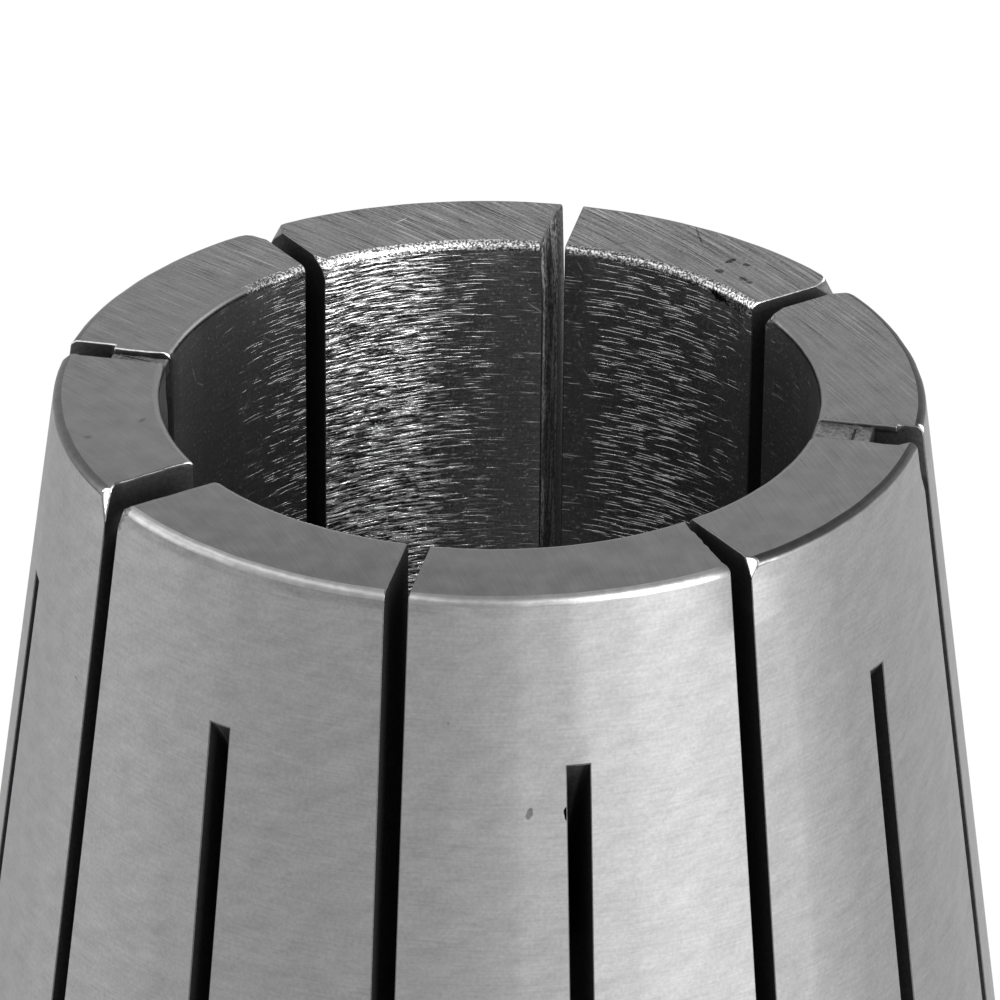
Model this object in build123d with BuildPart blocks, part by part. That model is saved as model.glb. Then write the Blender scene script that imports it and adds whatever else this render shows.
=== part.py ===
"""Spring collet for a 33 mm taper seat, bored 18 mm, in one piece.

The collet stands on its front face with the small rear end up. The origin is
the centre of the front face and +Z runs along the axis to the rear face.
Lengths are millimetres and angles are degrees.
"""
from build123d import *
from math import radians, sqrt, tan
import os

# Body
length = 40.0
head_diameter = 33.0
taper_half_angle = 8.0

# Collar that the clamping nut presses on
collar_width = 3.56
collar_land = 0.6
nose_half_angle = 30.0

# Groove that the nut's ring pulls the collet out by
groove_width = 3.6
groove_depth = 1.9
groove_corner_radius = 0.4

# Tool bore
bore_diameter = 18.0
front_mouth_chamfer = 0.5
rear_mouth_chamfer = 0.21

# Broken edges on the outside
edge_break = 0.18

# Slots, each cut by a disc saw that travels along the axis
slots_per_end = 8
slot_width = 0.61
saw_diameter = 63.0
saw_overrun = 1.5
rear_bridge = 4.66
groove_stop = 2.44

# Sizes that follow from the ones above
head_radius = head_diameter / 2
bore_radius = bore_diameter / 2
groove_radius = head_radius - groove_depth
groove_end = collar_width + groove_width
nose_length = collar_width - collar_land
front_radius = head_radius - nose_length * tan(radians(nose_half_angle))
taper_slope = tan(radians(taper_half_angle))
rear_radius = head_radius - (length - groove_end) * taper_slope
saw_radius = saw_diameter / 2
saw_axis = bore_radius - saw_overrun + saw_radius
slot_pitch = 360 / slots_per_end


def saw_reach(radius):
    """How far the saw's rim stands ahead of its own centre where it crosses a radius."""
    return sqrt(saw_radius**2 - (saw_axis - radius) ** 2)


def corners_at(section, radius):
    """Corners of a half section that lie at a radius."""
    return section.vertices().filter_by_position(Axis.X, radius - 0.001, radius + 0.001)


# Each slot ends in the arc of the saw: the front slots on the taper, just below the
# rear face, and the rear slots in the groove, just above the collar.
front_slot_end = length - rear_bridge
front_slot_end_radius = rear_radius + rear_bridge * taper_slope
front_saw_stop = front_slot_end - saw_reach(front_slot_end_radius)
rear_slot_end = collar_width + groove_stop
rear_saw_stop = rear_slot_end + saw_reach(groove_radius)

with BuildPart() as front_saw_path:
    with BuildSketch(Plane.XZ):
        with Locations((saw_axis, front_saw_stop)):
            Circle(saw_radius)
            Rectangle(saw_diameter, front_saw_stop + saw_radius, align=(Align.CENTER, Align.MAX))
    extrude(amount=slot_width / 2, both=True)

with BuildPart() as rear_saw_path:
    with BuildSketch(Plane.XZ):
        with Locations((saw_axis, rear_saw_stop)):
            Circle(saw_radius)
            Rectangle(saw_diameter, length + saw_radius, align=(Align.CENTER, Align.MIN))
    extrude(amount=slot_width / 2, both=True)

with BuildPart() as collet:
    # Turned and ground blank: nose, collar, groove, taper and bore
    with BuildSketch(Plane.XZ) as half_section:
        with BuildLine():
            Polyline(
                (bore_radius, 0),
                (front_radius, 0),
                (head_radius, nose_length),
                (head_radius, collar_width),
                (groove_radius, collar_width),
                (groove_radius, groove_end),
                (head_radius, groove_end),
                (rear_radius, length),
                (bore_radius, length),
                close=True,
            )
        make_face()
        fillet(corners_at(half_section, groove_radius), groove_corner_radius)
        groove_edges = corners_at(half_section, head_radius).sort_by(Axis.Y)[1:]
        chamfer(groove_edges, edge_break)
        chamfer(corners_at(half_section, front_radius), edge_break)
        chamfer(corners_at(half_section, rear_radius), edge_break)
        chamfer(corners_at(half_section, bore_radius).sort_by(Axis.Y)[-1], rear_mouth_chamfer)
        chamfer(corners_at(half_section, bore_radius).sort_by(Axis.Y)[0], front_mouth_chamfer)
    revolve(axis=Axis.Z)

    # Slots from the rear face and, midway between them, slots from the front face
    with PolarLocations(0, slots_per_end):
        add(rear_saw_path.part, mode=Mode.SUBTRACT)
    with PolarLocations(0, slots_per_end, start_angle=slot_pitch / 2):
        add(front_saw_path.part, mode=Mode.SUBTRACT)

collet.part.label = "collet"

os.makedirs("parts", exist_ok=True)
export_step(collet.part, "parts/collet.step")
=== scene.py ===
"""A one-piece spring collet standing on its front face, dressed as its photograph shows it.

Lengths in the classes below are millimetres and angles are degrees, unless a name
says otherwise. The mesh is made in millimetres and brought to metres at the end.
"""

import logging
import math
from dataclasses import dataclass, field
from enum import Enum
from typing import Any, Optional, Union

import bmesh
import bpy
from bmesh.types import BMEdge, BMesh, BMFace, BMVert
from mathutils import Matrix, Vector, noise


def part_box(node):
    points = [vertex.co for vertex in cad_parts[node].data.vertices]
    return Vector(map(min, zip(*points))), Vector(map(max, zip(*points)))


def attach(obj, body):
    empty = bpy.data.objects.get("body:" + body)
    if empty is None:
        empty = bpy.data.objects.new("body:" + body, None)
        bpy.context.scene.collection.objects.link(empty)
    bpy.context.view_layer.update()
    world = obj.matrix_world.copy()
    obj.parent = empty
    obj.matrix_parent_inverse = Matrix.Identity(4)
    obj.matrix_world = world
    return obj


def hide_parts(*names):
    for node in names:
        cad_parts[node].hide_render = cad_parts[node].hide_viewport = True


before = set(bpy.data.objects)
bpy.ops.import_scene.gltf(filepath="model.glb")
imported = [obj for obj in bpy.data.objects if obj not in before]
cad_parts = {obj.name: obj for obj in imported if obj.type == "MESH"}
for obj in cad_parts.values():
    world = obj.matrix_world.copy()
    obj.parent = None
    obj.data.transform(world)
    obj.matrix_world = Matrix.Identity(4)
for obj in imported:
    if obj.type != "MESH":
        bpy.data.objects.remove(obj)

MM = 0.001
CLOSE = 0.002
NEAR = 0.05
ARC_STEPS = 5
DEGREES = 180.0 / math.pi
BLACK = (0.0, 0.0, 0.0, 1.0)
WHITE = (1.0, 1.0, 1.0, 1.0)
Knots = tuple[tuple[float, float], ...]
LOG = logging.getLogger("collet")


class Zone(Enum):
    """Surfaces of the collet that have a finish of their own, in material slot order."""

    TAPER = 0
    REAR_FACE = 1
    BORE = 2
    MOUTH = 3
    SLOT = 4
    EDGE = 5
    COLLAR = 6
    FRONT_FACE = 7
    WEB = 8
    RIM = 9
    BRIGHT = 10


class End(Enum):
    """The end face that a slot opens at."""

    REAR = "rear"
    FRONT = "front"


@dataclass(frozen=True)
class Corner:
    """A corner of the half section, with the run that follows it.

    Attributes:
        radius: distance from the axis.
        height: distance above the front face.
        zone: finish of the run from this corner to the next.
        rows: how many rows of faces that run is divided into.
    """

    radius: float
    height: float
    zone: Zone
    rows: int = 1


@dataclass
class Blank:
    """The turned and ground body before it is slotted."""

    length: float
    head_radius: float
    bore_radius: float = 9.0
    taper_half_angle: float = 8.0
    nose_half_angle: float = 30.0
    collar_width: float = 3.56
    collar_land: float = 0.6
    groove_width: float = 3.6
    groove_depth: float = 1.9
    groove_corner: float = 0.4
    collar_break: float = 0.18
    front_mouth: float = 0.5
    rear_mouth: float = 0.21
    rim_round: float = 0.24

    @property
    def taper_slope(self) -> float:
        """Loss of the taper's radius for each unit of height."""
        return math.tan(math.radians(self.taper_half_angle))

    @property
    def groove_end(self) -> float:
        """Height at which the groove ends and the taper starts."""
        return self.collar_width + self.groove_width

    @property
    def groove_radius(self) -> float:
        """Radius of the groove's floor."""
        return self.head_radius - self.groove_depth

    @property
    def rear_radius(self) -> float:
        """Radius of the taper where it would meet the rear face."""
        return self.taper_radius(self.length)

    def taper_radius(self, height: float) -> float:
        """Radius of the taper at a height above the front face."""
        return self.head_radius - (height - self.groove_end) * self.taper_slope

    def corners(self, outer_stop: dict[End, float], bore_stop: dict[End, float]) -> list[Corner]:
        """Half section, from the bore's front mouth outwards and round to it again.

        Args:
            outer_stop: height of each kind of slot's closed end on the outside.
            bore_stop: height of each kind of slot's closed end in the bore.

        Returns:
            The corners, in order.
        """
        nose_slope = math.radians(self.nose_half_angle)
        nose_height = self.collar_width - self.collar_land
        front_radius = self.head_radius - nose_height * math.tan(nose_slope)
        cut = self.collar_break
        bore = self.bore_radius
        taper_start = self.groove_end + cut
        lean, rim = math.radians(self.taper_half_angle), self.rim_round
        rim_foot = self.length - rim * (1 - math.sin(lean))
        rim_centre = (self.taper_radius(rim_foot) - rim * math.cos(lean), self.length - rim)
        mouth_centre = (bore + self.rear_mouth, self.length - self.rear_mouth)
        corner, collar = self.groove_corner, (Zone.COLLAR, Zone.COLLAR)
        lower_centre = (self.groove_radius + corner, self.collar_width + corner)
        upper_centre = (self.groove_radius + corner, self.groove_end - corner)
        return [
            Corner(bore + self.front_mouth, 0.0, Zone.FRONT_FACE, 3),
            Corner(front_radius - cut, 0.0, Zone.COLLAR),
            Corner(front_radius + cut * math.sin(nose_slope), cut * math.cos(nose_slope), Zone.COLLAR, 3),
            Corner(self.head_radius, nose_height, Zone.COLLAR),
            Corner(self.head_radius, self.collar_width - cut, Zone.COLLAR),
            Corner(self.head_radius - cut, self.collar_width, Zone.COLLAR),
            *self.rounded(lower_centre, corner, 270.0, 180.0, *collar),
            Corner(self.groove_radius, outer_stop[End.REAR], Zone.COLLAR),
            *self.rounded(upper_centre, corner, 180.0, 90.0, *collar),
            Corner(self.head_radius - cut, self.groove_end, Zone.COLLAR),
            Corner(self.taper_radius(taper_start), taper_start, Zone.TAPER, 24),
            Corner(self.taper_radius(outer_stop[End.FRONT]), outer_stop[End.FRONT], Zone.TAPER, 5),
            *self.rounded(rim_centre, rim, self.taper_half_angle, 90.0, Zone.RIM, Zone.REAR_FACE),
            *self.rounded(mouth_centre, self.rear_mouth, 90.0, 180.0, Zone.MOUTH, Zone.BORE, 10),
            Corner(bore, bore_stop[End.FRONT], Zone.BORE, 8),
            Corner(bore, bore_stop[End.REAR], Zone.BORE, 10),
            Corner(bore, self.front_mouth, Zone.MOUTH),
        ]

    @staticmethod
    def rounded(
        centre: tuple[float, float], size: float, start: float, stop: float, zone: Zone, after: Zone,
        rows: int = 1,
    ) -> list[Corner]:
        """Rounded edge, worked out as an arc.

        Args:
            centre: the arc's centre, as a radius and a height.
            size: the arc's own radius.
            start: direction of its first corner from the centre.
            stop: direction of its last corner.
            zone: finish of the arc.
            after: finish of the run that follows it.
            rows: how many rows of faces that run is divided into.

        Returns:
            The arc's corners, in order.
        """
        arc = []
        for step in range(ARC_STEPS + 1):
            angle = math.radians(start + (stop - start) * step / ARC_STEPS)
            place = (centre[0] + size * math.cos(angle), centre[1] + size * math.sin(angle))
            last = step == ARC_STEPS
            arc.append(Corner(*place, after if last else zone, rows if last else 1))
        return arc


@dataclass
class SawCut:
    """Path of the disc saw that opens one kind of slot.

    Attributes:
        opens: the end face that the slot opens at.
        outer_radius: radius of the outside where the slot ends.
        outer_stop: height of the closed end on the outside.
        axis_radius: distance of the saw's centre from the collet's axis.
        width: thickness of the saw.
        saw_radius: radius of the saw.
    """

    opens: End
    outer_radius: float
    outer_stop: float
    axis_radius: float
    width: float = 0.61
    saw_radius: float = 31.5

    @property
    def sense(self) -> int:
        """1 where the slot opens upwards from its closed end, -1 where it opens downwards."""
        return 1 if self.opens is End.REAR else -1

    @property
    def stop(self) -> float:
        """Height of the saw's centre where it stops."""
        return self.outer_stop + self.sense * self.reach(self.outer_radius)

    def reach(self, radius: float) -> float:
        """How far the saw's rim stands ahead of its centre at a distance from the collet's axis."""
        return math.sqrt(self.saw_radius**2 - (self.axis_radius - radius) ** 2)

    def end_at(self, radius: float) -> float:
        """Height of the slot's closed end at a distance from the collet's axis."""
        return self.stop - self.sense * self.reach(radius)

    def clears(self, radius: float, height: float) -> bool:
        """Whether the saw takes away what lies at a place in its plane."""
        if self.sense * (height - self.stop) > 0:
            return True
        across = radius - self.axis_radius
        return across**2 + (height - self.stop) ** 2 < self.saw_radius**2


@dataclass(frozen=True)
class Lip:
    """Wear of one edge of a slot where it opens at the rear face.

    Attributes:
        side: 1 for the wall counter-clockwise of the slot, -1 for the other.
        round_bore: radius of the rounded edge at the bore.
        round_rim: radius of the rounded edge at the rim.
        recess: how far the wall is cut back below the edge.
        recess_depth: how deep the cut-back part goes.
        recess_rim: share of the recess that is left at the rim.
    """

    side: int
    round_bore: float = 0.0
    round_rim: float = 0.0
    recess: float = 0.0
    recess_depth: float = 0.0
    recess_rim: float = 0.0


@dataclass(frozen=True)
class Ledge:
    """What is left of a thin web that once tied the two walls of a slot together.

    Attributes:
        side: 1 for the wall counter-clockwise of the slot, -1 for the other.
        inner, outer: distances of its two ends from the collet's axis.
        top, bottom: depths of its top and its underside below the rear face.
        reach_inner, reach_outer: how far its two ends stand out of the wall.
        drop: how much its free edge lies below its root.
        top_zone: finish of its top.
    """

    side: int
    inner: float
    outer: float
    top: float
    bottom: float
    reach_inner: float
    reach_outer: float
    drop: float = 0.0
    top_zone: Zone = Zone.WEB


@dataclass(frozen=True)
class Rounding:
    """A segment's corner beside a slot, rounded off as seen from above and fading downwards.

    Attributes:
        side: 1 for the segment counter-clockwise of the slot, -1 for the other.
        at_rim: whether it is the corner at the rim, not the one at the bore.
        size: radius of the rounding.
        lean: how much the rounding leans outwards below the face.
        bright: whether wear has polished it, and it is painted with a glint.
    """

    side: int
    at_rim: bool = True
    size: float = 0.2
    lean: float = 0.7
    bright: bool = False


@dataclass(frozen=True)
class Mouth:
    """How one slot's mouth at the rear face differs from a plain saw cut.

    Attributes:
        azimuth: direction of the slot about the axis.
        lips: wear of its edges.
        ledges: what still stands in the slot.
        roundings: its rounded corners.
        bright_side: the side whose edge wear has polished and that is painted with glints, or 0.
    """

    azimuth: float
    lips: tuple[Lip, ...] = ()
    ledges: tuple[Ledge, ...] = ()
    roundings: tuple[Rounding, ...] = ()
    bright_side: int = 0


MOUTHS = (
    Mouth(
        0.0,
        (Lip(-1, recess=0.55, recess_depth=0.9, recess_rim=0.6),),
        (
            Ledge(-1, 9.0, 10.6, 0.1, 0.5, 0.58, 0.52),
            Ledge(1, 9.0, 11.2, 0.0, 0.2, 0.1, 0.1, 0.03, Zone.REAR_FACE),
        ),
    ),
    Mouth(
        45.0,
        roundings=(
            Rounding(-1, True, 0.4, 0.5),
            Rounding(1, True, 0.5, 0.5),
            Rounding(-1, False, 0.3),
        ),
        bright_side=1,
    ),
    Mouth(90.0, (Lip(1, recess=0.1, recess_depth=0.25),)),
    Mouth(
        135.0,
        roundings=(
            Rounding(-1, True, 0.4, 0.5),
            Rounding(1, True, 0.6, 0.5),
            Rounding(-1, False, 0.45, 0.5),
        ),
    ),
    Mouth(
        180.0,
        (Lip(1, recess=0.2, recess_depth=0.9),),
        (
            Ledge(-1, 9.0, 10.6, 0.0, 0.4, 0.22, 0.22, top_zone=Zone.REAR_FACE),
            Ledge(1, 9.0, 10.6, 0.1, 0.5, 0.27, 0.24),
        ),
        (Rounding(1, True, 0.3),),
        bright_side=-1,
    ),
    Mouth(
        -135.0,
        (Lip(1, 0.45, 0.42), Lip(-1, recess=0.42, recess_depth=1.0)),
        roundings=(
            Rounding(-1, True, 0.45, 0.45, True),
            Rounding(1, True, 0.2, 0.3),
            Rounding(-1, False, 0.16, 0.6, True),
        ),
        bright_side=-1,
    ),
    Mouth(-90.0),
    Mouth(
        -45.0,
        (Lip(1, recess=0.08, recess_depth=1.0),),
        (Ledge(-1, 9.0, 11.4, 0.0, 0.5, 0.45, 0.02, top_zone=Zone.REAR_FACE),),
        (Rounding(1, True, 0.3, 0.65, True),),
    ),
)


@dataclass
class ColletMesh:
    """Builds the collet's mesh: turns the blank, saws the slots and breaks the edges."""

    blank: Blank
    cuts: dict[End, SawCut]
    slots_per_end: int = 8
    clear_angle: float = 6.5
    columns: int = 8
    saw_steps: int = 14
    edge_break: float = 0.035
    edge_segments: int = 2
    sharp_angle: float = 24.0
    polish_and_glint_depth: float = 0.12
    corner_depth: float = 2.5
    ledge_flattest: float = 0.7
    worn_steepest: float = 0.2
    worn_flattest: float = 0.9
    recess_fade: float = 0.16
    recess_waver: float = 0.12
    lip_waver: float = 0.15
    ledge_waver: float = 0.25
    ledge_drop_depth: float = 0.3
    mouth_depth: float = 1.6
    mouth_rows: tuple[float, ...] = (0.1, 0.2, 0.3, 0.4, 0.5, 0.65, 0.82, 1.0, 1.2, 1.4)
    mouth_stations: tuple[float, ...] = (9.4, 9.6, 9.8, 10.0, 10.2, 10.4, 10.6, 10.8, 11.0, 11.2, 11.4)
    lip_lines: tuple[float, ...] = (0.1, 0.2, 0.3, 0.4, 0.5)
    lip_breadth: float = 0.6
    bm: BMesh = field(default_factory=bmesh.new)
    rings: dict[int, list[float]] = field(default_factory=dict)

    @property
    def pitch(self) -> float:
        """Angle between a slot and its neighbour that opens at the other end."""
        return 180.0 / self.slots_per_end

    @property
    def half_width(self) -> float:
        """Distance of a slot's wall from its middle plane."""
        return self.cuts[End.REAR].width / 2

    def build(self) -> BMesh:
        """Makes the whole mesh, in millimetres.

        Returns:
            A closed mesh with the zones in its faces' material indices.
        """
        self.turn_blank()
        for number in range(2 * self.slots_per_end):
            cut = self.cuts[End.REAR if number % 2 == 0 else End.FRONT]
            self.open_slot(cut, number * self.pitch)
        self.fill_holes(Zone.SLOT)
        bmesh.ops.recalc_face_normals(self.bm, faces=self.bm.faces)
        self.join_rear_face()
        for mouth in MOUTHS:
            self.shape_mouth(mouth)
        for mouth in MOUTHS:
            for rounding in mouth.roundings:
                self.round_corner(mouth.azimuth, rounding)
        bmesh.ops.recalc_face_normals(self.bm, faces=self.bm.faces)
        self.break_edges()
        return self.bm

    def spin(self, geom: list[Any], centre: Vector, axis: Vector, angle: float, steps: int) -> list[Any]:
        """Sweeps geometry about an axis.

        Args:
            geom: what is swept.
            centre: a point on the axis.
            axis: the axis's direction.
            angle: how far it turns, in radians.
            steps: how many faces the sweep has.

        Returns:
            What stands at the end of the sweep.
        """
        spun = bmesh.ops.spin(
            self.bm,
            geom=geom,
            cent=centre,
            axis=axis,
            dvec=(0, 0, 0),
            angle=angle,
            steps=steps,
            use_merge=False,
            use_duplicate=False,
        )
        return spun["geom_last"]

    def fill_holes(self, zone: Zone) -> None:
        """Closes every hole with a flat face of one finish."""
        rim = [edge for edge in self.bm.edges if edge.is_boundary]
        for face in bmesh.ops.holes_fill(self.bm, edges=rim, sides=0)["faces"]:
            face.material_index = zone.value

    def turn_blank(self) -> None:
        """Spins the half section once round, with columns kept clear of the slot walls."""
        bm = self.bm
        outer = {end: cut.outer_stop for end, cut in self.cuts.items()}
        bore = {end: cut.end_at(self.blank.bore_radius) for end, cut in self.cuts.items()}
        corners = self.blank.corners(outer, bore)
        verts = [bm.verts.new((corner.radius, 0.0, corner.height)) for corner in corners]
        runs = []
        for index, corner in enumerate(corners):
            edge = bm.edges.new((verts[index], verts[(index + 1) % len(verts)]))
            runs.append((edge, corner.rows))
        for edge, rows in runs:
            if rows > 1:
                bmesh.ops.subdivide_edges(bm, edges=[edge], cuts=rows - 1)
        for vert in bm.verts:
            self.rings.setdefault(round(vert.co.z / CLOSE), []).append(vert.co.x)
        geom = list(bm.verts) + list(bm.edges)
        clear = (self.clear_angle, 1)
        sweep = (clear, (self.pitch - 2 * self.clear_angle, self.columns), clear)
        for angle, steps in sweep * (2 * self.slots_per_end):
            geom = self.spin(geom, Vector(), Vector((0, 0, 1)), math.radians(angle), steps)
        bmesh.ops.remove_doubles(bm, verts=bm.verts, dist=CLOSE)
        bmesh.ops.recalc_face_normals(bm, faces=bm.faces)
        for face in bm.faces:
            face.material_index = self.zone_of(face, corners).value

    @staticmethod
    def zone_of(face: BMFace, corners: list[Corner]) -> Zone:
        """Finds the zone of a face from the run of the half section that it lies on.

        Args:
            face: a face of the turned blank.
            corners: the half section.

        Returns:
            The zone of the nearest run.
        """
        middle = face.calc_center_median()
        place = Vector((math.hypot(middle.x, middle.y), middle.z))
        nearest, zone = math.inf, Zone.TAPER
        for index, corner in enumerate(corners):
            after = corners[(index + 1) % len(corners)]
            start = Vector((corner.radius, corner.height))
            run = Vector((after.radius, after.height)) - start
            along = max(0.0, min(1.0, (place - start).dot(run) / run.length_squared))
            distance = (place - start - run * along).length
            if distance < nearest:
                nearest, zone = distance, corner.zone
        return zone

    @staticmethod
    def into_slot(azimuth: float) -> Matrix:
        """Rotation into a slot's own frame, where the slot runs along +X."""
        return Matrix.Rotation(math.radians(-azimuth), 3, "Z")

    def beside_slot(self, azimuth: float) -> list[BMFace]:
        """Faces of the columns on both sides of a slot's middle plane, outside and in the bore.

        Args:
            azimuth: direction of the slot.

        Returns:
            The faces within the clear angle.
        """
        turn = self.into_slot(azimuth)
        limit = math.tan(math.radians(self.clear_angle))
        places = [(face, turn @ face.calc_center_median()) for face in self.bm.faces]
        return [face for face, place in places if place.x > 0 and abs(place.y) < place.x * limit]

    def cut_plane(
        self, faces: list[BMFace], azimuth: float, normal: Vector, offset: float, clear: bool = False
    ) -> None:
        """Cuts faces by a plane given in a slot's own frame.

        Args:
            faces: the faces to cut.
            azimuth: direction of the slot.
            normal: the plane's unit normal in the slot's frame.
            offset: the plane's distance from the origin along its normal.
            clear: whether what lies outside the plane is taken away.
        """
        world_normal = self.into_slot(azimuth).inverted() @ normal
        edges = {edge for face in faces for edge in face.edges}
        verts = {vert for face in faces for vert in face.verts}
        bmesh.ops.bisect_plane(
            self.bm,
            geom=list(verts) + list(edges) + faces,
            dist=CLOSE / 2,
            plane_co=world_normal * offset,
            plane_no=world_normal,
            clear_outer=clear,
        )

    def open_slot(self, cut: SawCut, azimuth: float) -> None:
        """Cuts one slot through the wall and lays the saw's arc at its closed end.

        Args:
            cut: the saw's path.
            azimuth: direction of the slot.
        """
        turn = self.into_slot(azimuth)
        half = cut.width / 2
        for offset in (half, -half):
            self.cut_plane(self.beside_slot(azimuth), azimuth, Vector((0, 1, 0)), offset)
        places = [(face, turn @ face.calc_center_median()) for face in self.beside_slot(azimuth)]
        gap = [face for face, place in places if abs(place.y) < half and cut.clears(place.x, place.z)]
        bmesh.ops.delete(self.bm, geom=gap, context="FACES")
        self.lay_arc(cut, turn)
        self.snap_round(azimuth)

    def lay_arc(self, cut: SawCut, turn: Matrix) -> None:
        """Spins the slot's closed end on the outside about the saw's centre to the bore.

        Args:
            cut: the saw's path.
            turn: rotation into the slot's frame.
        """
        bm = self.bm
        bore_radius = self.blank.bore_radius
        bore_stop = cut.end_at(bore_radius)
        outer_end: list[BMEdge] = []
        bore_verts: set[BMVert] = set()
        for edge in bm.edges:
            if not edge.is_boundary:
                continue
            places = [turn @ vert.co for vert in edge.verts]
            if any(p.x < 0 or abs(p.y) > cut.width / 2 + CLOSE for p in places):
                continue
            if all(math.dist((p.x, p.z), (cut.outer_radius, cut.outer_stop)) < NEAR for p in places):
                outer_end.append(edge)
            if all(math.dist((p.x, p.z), (bore_radius, bore_stop)) < NEAR for p in places):
                bore_verts.update(edge.verts)
        start = math.atan2(cut.outer_stop - cut.stop, cut.outer_radius - cut.axis_radius)
        stop = math.atan2(bore_stop - cut.stop, bore_radius - cut.axis_radius)
        back = turn.inverted()
        whole = set(bm.faces)
        geom = list({vert for edge in outer_end for vert in edge.verts}) + outer_end
        centre = back @ Vector((cut.axis_radius, 0, cut.stop))
        swept = self.spin(geom, centre, back @ Vector((0, -1, 0)), stop - start, self.saw_steps)
        for face in set(bm.faces) - whole:
            face.material_index = Zone.SLOT.value
        last = [item for item in swept if isinstance(item, BMVert)]
        targets = {v: min(bore_verts, key=lambda b: (b.co - v.co).length) for v in last}
        bmesh.ops.weld_verts(bm, targetmap=targets)

    def snap_round(self, azimuth: float) -> None:
        """Puts the corners that a saw cut made on flat facets back on their true circles.

        Args:
            azimuth: direction of the slot.
        """
        turn = self.into_slot(azimuth)
        back = turn.inverted()
        for vert in self.bm.verts:
            place = turn @ vert.co
            if place.x < 0 or abs(abs(place.y) - self.half_width) > CLOSE:
                continue
            radius = math.hypot(place.x, place.y)
            for ring in self.rings.get(round(place.z / CLOSE), ()):
                if abs(ring - radius) < NEAR:
                    place.x = math.sqrt(ring**2 - place.y**2)
                    vert.co = back @ place

    def join_rear_face(self) -> None:
        """Makes each segment's flat rear face one face, so that its mouths can be worked."""
        flat = [face for face in self.bm.faces if face.material_index == Zone.REAR_FACE.value]
        bmesh.ops.dissolve_faces(self.bm, faces=flat, use_verts=False)

    def near_mouth(self, azimuth: float, touching: Optional[float] = None) -> list[BMFace]:
        """Faces round one slot's mouth at the rear face.

        Args:
            azimuth: direction of the slot.
            touching: if given, also the faces that have a corner this far from the middle plane.

        Returns:
            The faces.
        """
        turn = self.into_slot(azimuth)
        top = self.blank.length
        breadth = self.half_width + self.lip_breadth
        found = []
        for face in self.bm.faces:
            middle = turn @ face.calc_center_median()
            if middle.x > 0 and abs(middle.y) < breadth and middle.z > top - self.mouth_depth:
                found.append(face)
            elif touching is not None:
                places = [turn @ vert.co for vert in face.verts]
                rim = [p for p in places if p.x > 0 and p.z > top - CLOSE]
                if any(abs(abs(p.y) - touching) < CLOSE for p in rim):
                    found.append(face)
        return found

    def shape_mouth(self, mouth: Mouth) -> None:
        """Cuts one mouth's surroundings finely, then wears its lips and stands its ledges.

        Args:
            mouth: the slot's mouth.
        """
        if not (mouth.lips or mouth.ledges):
            return
        up, across, along = Vector((0, 0, 1)), Vector((0, 1, 0)), Vector((1, 0, 0))
        top, azimuth = self.blank.length, mouth.azimuth
        self.cut_plane(self.near_mouth(azimuth, self.half_width), azimuth, up, top - self.mouth_depth)
        for depth in self.mouth_rows:
            self.cut_plane(self.near_mouth(azimuth), azimuth, up, top - depth)
        for lip in mouth.lips:
            if lip.round_rim > 0:
                for line in (self.lip_breadth, *self.lip_lines):
                    faces = self.near_mouth(azimuth, self.half_width)
                    self.cut_plane(faces, azimuth, across, lip.side * (self.half_width + line))
        for station in self.mouth_stations:
            self.cut_plane(self.near_mouth(azimuth), azimuth, along, station)
        for ledge in mouth.ledges:
            self.stand_ledge(azimuth, ledge)
        for lip in mouth.lips:
            self.wear_lip(azimuth, lip)

    def stand_ledge(self, azimuth: float, ledge: Ledge) -> None:
        """Extrudes what is left of a web out of a slot's wall.

        Args:
            azimuth: direction of the slot.
            ledge: the remnant.
        """
        bm = self.bm
        turn = self.into_slot(azimuth)
        back = turn.inverted()
        wall = ledge.side * self.half_width
        top = self.blank.length
        root = []
        for face in self.near_mouth(azimuth):
            middle = turn @ face.calc_center_median()
            on_wall = all(abs((turn @ vert.co).y - wall) < CLOSE for vert in face.verts)
            depth = top - middle.z
            if on_wall and ledge.inner < middle.x < ledge.outer and ledge.top < depth < ledge.bottom:
                root.append(face)
        if not root:
            LOG.warning("no root for the ledge at %s", azimuth)
            return
        whole = set(bm.faces)
        grown = bmesh.ops.extrude_face_region(bm, geom=root)["geom"]
        bmesh.ops.delete(bm, geom=root, context="FACES")
        for vert in (item for item in grown if isinstance(item, BMVert)):
            place = turn @ vert.co
            share = (place.x - ledge.inner) / (ledge.outer - ledge.inner)
            reach = ledge.reach_inner + (ledge.reach_outer - ledge.reach_inner) * share
            ragged = 1.0 + self.ledge_waver * noise.noise(Vector((place.x * 4.0, place.z * 4.0, azimuth)))
            place.y -= ledge.side * reach * ragged
            place.z -= ledge.drop * max(0.0, 1.0 - (top - place.z - ledge.top) / self.ledge_drop_depth)
            vert.co = back @ place
        for face in set(bm.faces).difference(whole):
            face.normal_update()
            middle = face.calc_center_median()
            is_top = abs(face.normal.z) > self.ledge_flattest and middle.z > top - ledge.bottom + NEAR
            face.material_index = (ledge.top_zone if is_top else Zone.SLOT).value

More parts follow.
